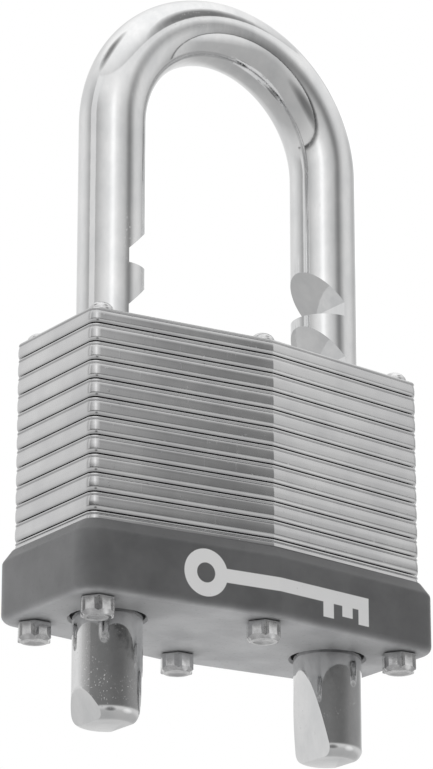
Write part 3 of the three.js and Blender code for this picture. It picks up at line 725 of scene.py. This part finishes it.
# ---------------------------------------------------------------------------------------------
# The studio. A pale painted floor lies well below the lock, which hangs before a white backdrop.
# The lock's metal sees a room in graded greys, and a curved cloth, lit unevenly, close before it.
# Two soft panels light it from the left and from below, and the camera stands low at its left.
room_paint = bpy.data.materials.new("pale_floor_paint")
tree, shader, place = steel_nodes(room_paint, (0.86, 0.86, 0.86), 0.7, 0.0)
speckle = streaks(tree, place, (90, 90, 90), 3.0, 0.6)
paint = shade_between(tree, speckle, (0.84, 0.84, 0.84), (0.88, 0.88, 0.88))
tree.links.new(paint, shader.inputs["Base Color"])
FLOOR_Z, FLOOR_REACH = -0.25, 3.0
floor_points = np.array([[-1, -1, 0], [1, -1, 0], [1, 1, 0], [-1, 1, 0]]) * FLOOR_REACH + [0, 0, FLOOR_Z]
floor_mesh = bpy.data.meshes.new("studio_floor")
floor_mesh.from_pydata(floor_points.tolist(), [], [(0, 1, 2, 3)])
floor_mesh.materials.append(room_paint)
studio_floor = bpy.data.objects.new("studio_floor", floor_mesh)
bpy.context.scene.collection.objects.link(studio_floor)
studio_floor.visible_glossy = False

world = bpy.data.worlds.new("studio_air")
bpy.context.scene.world = world
world.use_nodes = True
air = world.node_tree
backdrop = air.nodes["Background"]
backdrop.inputs["Color"].default_value = (1.0, 1.0, 1.0, 1.0)
backdrop.inputs["Strength"].default_value = 1.0
room = air.nodes.new("ShaderNodeBackground")
seen = air.nodes.new("ShaderNodeLightPath")
blend = air.nodes.new("ShaderNodeMixShader")
air.links.new(seen.outputs["Is Camera Ray"], blend.inputs["Fac"])
air.links.new(room.outputs["Background"], blend.inputs[1])
air.links.new(backdrop.outputs["Background"], blend.inputs[2])
air.links.new(blend.outputs["Shader"], air.nodes["World Output"].inputs["Surface"])


def tone_ramp(tree, value, stops):
    """A smooth run of greys along a value from 0 to 1. Each stop is (place, brightness), and the
    brightness is halved so that panels brighter than white still fit."""
    ramp = tree.nodes.new("ShaderNodeValToRGB")
    ramp.color_ramp.interpolation = "B_SPLINE"
    marks = ramp.color_ramp.elements
    while len(marks) < len(stops):
        marks.new(0.5)
    for mark, (spot, tone) in zip(marks, stops):
        mark.position = spot
        mark.color = (tone / 2, tone / 2, tone / 2, 1.0)
    tree.links.new(value, ramp.inputs["Fac"])
    return ramp.outputs["Color"]


look = air.nodes.new("ShaderNodeTexCoord")
parts = air.nodes.new("ShaderNodeSeparateXYZ")
air.links.new(look.outputs["Object"], parts.inputs["Vector"])
rise = stretch(air, parts.outputs["Z"], -1.0, 1.0, 0.0, 1.0)
turn = air.nodes.new("ShaderNodeTexGradient")
turn.gradient_type = "RADIAL"
air.links.new(look.outputs["Object"], turn.inputs["Vector"])
walls = tone_ramp(air, turn.outputs["Fac"], [
    (0.0, 0.18), (0.08, 0.13), (0.15, 0.12), (0.22, 0.08), (0.30, 0.06), (0.38, 0.20), (0.45, 0.25),
    (0.53, 0.30), (0.57, 0.8), (0.61, 1.7), (0.66, 0.9), (0.75, 0.74), (0.84, 0.98), (0.92, 0.5),
    (1.0, 0.20)])
heights = tone_ramp(air, rise, [
    (0.0, 0.44), (0.30, 0.50), (0.38, 0.62), (0.47, 0.76), (0.58, 0.76), (0.68, 0.60), (0.80, 0.70),
    (0.9, 1.0), (1.0, 1.2)])
middle = tone_ramp(air, rise, [(0.0, 0.0), (0.54, 0.0), (0.61, 2.0), (0.74, 2.0), (0.86, 0.0), (1.0, 0.0)])
both = air.nodes.new("ShaderNodeMix")
both.data_type = "RGBA"
air.links.new(middle, both.inputs["Factor"])
air.links.new(heights, both.inputs["A"])
air.links.new(walls, both.inputs["B"])
air.links.new(both.outputs["Result"], room.inputs["Color"])

# Soft patches in the room: bearing from the front, height, full and vanishing radius, all in
# degrees, and the share of the light that each takes away. A share below nothing adds light.
PATCHES = ((36, 53, 7, 19, 0.75), (-21, -14, 6, 20, 0.65), (-123, 61, 4, 14, 0.75), (40, -14, 5, 20, -0.45))
level = 2.0
for bearing, elevation, inner, outer, dimming in PATCHES:
    across, high = np.radians(bearing), np.radians(elevation)
    toward = air.nodes.new("ShaderNodeVectorMath")
    toward.operation = "DOT_PRODUCT"
    toward.inputs[1].default_value = (np.sin(across) * np.cos(high), -np.cos(across) * np.cos(high),
                                      np.sin(high))
    air.links.new(look.outputs["Object"], toward.inputs[0])
    shade = stretch(air, toward.outputs["Value"], np.cos(np.radians(outer)), np.cos(np.radians(inner)),
                    1.0, 1.0 - dimming)
    level = combine(air, "MULTIPLY", shade, level)
air.links.new(level, room.inputs["Strength"])

# The cloth's light runs round it in folds and evens out towards the top. It fades in over the
# hem, and does so higher up on the left.
curtain_cloth = bpy.data.materials.new("lit_curtain_cloth")
curtain_cloth.use_nodes = True
cloth = curtain_cloth.node_tree
glow = cloth.nodes.new("ShaderNodeEmission")
cloth.links.new(glow.outputs["Emission"], cloth.nodes["Material Output"].inputs["Surface"])
hang = cloth.nodes.new("ShaderNodeTexCoord")
up = cloth.nodes.new("ShaderNodeSeparateXYZ")
cloth.links.new(hang.outputs["Object"], up.inputs["Vector"])
sweep = cloth.nodes.new("ShaderNodeTexGradient")
sweep.gradient_type = "RADIAL"
cloth.links.new(hang.outputs["Object"], sweep.inputs["Vector"])
folds = tone_ramp(cloth, sweep.outputs["Fac"], [
    (0.0, 0.45), (0.06, 0.75), (0.125, 0.95), (0.155, 1.35), (0.18, 1.0), (0.215, 0.8), (0.27, 0.6),
    (0.305, 0.20), (0.335, 0.34), (0.375, 0.80), (0.45, 0.80), (0.514, 0.42), (0.55, 0.8), (1.0, 0.8)])
CURTAIN_RADIUS, CURTAIN_LOW, CURTAIN_HIGH = 0.2, 0.064, 0.27
hem = stretch(cloth, up.outputs["Z"], CURTAIN_LOW, 0.073, 0.0, 0.8)
hem = combine(cloth, "ADD", hem, stretch(cloth, up.outputs["Z"], 0.073, 0.110, 0.0, 0.2))
gathered = shade_between(cloth, stretch(cloth, up.outputs["Z"], 0.160, 0.22, 0.0, 0.9), (0, 0, 0),
                         (0.48, 0.48, 0.48))
cloth.links.new(folds, gathered.node.inputs["A"])
near_left = stretch(cloth, sweep.outputs["Fac"], 0.25, 0.31, 0.75, 0.0)
low_part = stretch(cloth, up.outputs["Z"], 0.074, 0.086, 1.0, 0.0)
shadow = combine(cloth, "MULTIPLY", near_left, low_part)
hem = combine(cloth, "MULTIPLY", hem, combine(cloth, "SUBTRACT", 1.0, shadow))
cloth.links.new(gathered, glow.inputs["Color"])
cloth.links.new(combine(cloth, "MULTIPLY", hem, 2.0), glow.inputs["Strength"])


def lit_curtain(radius, low, high, start, end):
    """A wall round the front of the lock: a circle's arc of bearings, carried straight up."""
    angle = np.radians(np.linspace(start, end, 80))
    ring = np.stack([radius * np.sin(angle), -radius * np.cos(angle)], axis=1)
    points = np.concatenate([np.column_stack([ring, np.full(len(ring), z)]) for z in (low, high)])
    first = np.arange(len(ring) - 1)
    faces = np.stack([first, first + 1, first + 1 + len(ring), first + len(ring)], axis=1)
    mesh = bpy.data.meshes.new("lit_curtain")
    mesh.from_pydata(points.tolist(), [], faces.tolist())
    mesh.materials.append(curtain_cloth)
    curtain = bpy.data.objects.new("lit_curtain", mesh)
    bpy.context.scene.collection.objects.link(curtain)
    curtain.visible_camera = False


lit_curtain(CURTAIN_RADIUS, CURTAIN_LOW, CURTAIN_HIGH, -110, 105)


def soft_panel(name, bearing, height, distance, width, tall, strength):
    """A rectangular light aimed at the lock. Bearing is measured from the front, towards the
    right, and strength is the panel's own brightness, where 1 looks white."""
    data = bpy.data.lights.new(name, "AREA")
    data.shape = "RECTANGLE"
    data.size, data.size_y = width, tall
    data.energy = strength * np.pi * width * tall
    panel = bpy.data.objects.new(name, data)
    bpy.context.scene.collection.objects.link(panel)
    angle = np.radians(bearing)
    panel.location = (distance * np.sin(angle), -distance * np.cos(angle), height)
    aim = Vector((0, 0, 0.05)) - panel.location
    panel.rotation_mode = "QUATERNION"
    panel.rotation_quaternion = aim.to_track_quat("-Z", "Y")
    panel.visible_camera = False
    return panel


soft_panel("left_panel", -100, 0.20, 0.60, 0.50, 0.50, 3.5).visible_glossy = False
soft_panel("low_back_panel", 160, -0.18, 0.13, 0.30, 0.24, 8.0).visible_glossy = False

camera_data = bpy.data.cameras.new("studio_camera")
camera_data.lens = 168.27
camera_data.sensor_width = 36.0
camera = bpy.data.objects.new("studio_camera", camera_data)
bpy.context.scene.collection.objects.link(camera)
bpy.context.scene.camera = camera
bearing, rise, reach = np.radians(-35.1335), np.radians(-19.2707), 0.42197
target = Vector((-0.00047, -0.00005, 0.04316))
back = Vector((np.sin(bearing) * np.cos(rise), -np.cos(bearing) * np.cos(rise), np.sin(rise)))
camera.location = target + back * reach
camera.rotation_mode = "QUATERNION"
camera.rotation_quaternion = (-back).to_track_quat("-Z", "Y")
camera_data.clip_start, camera_data.clip_end = 0.01, 20.0
bpy.context.scene.view_settings.view_transform = "Standard"
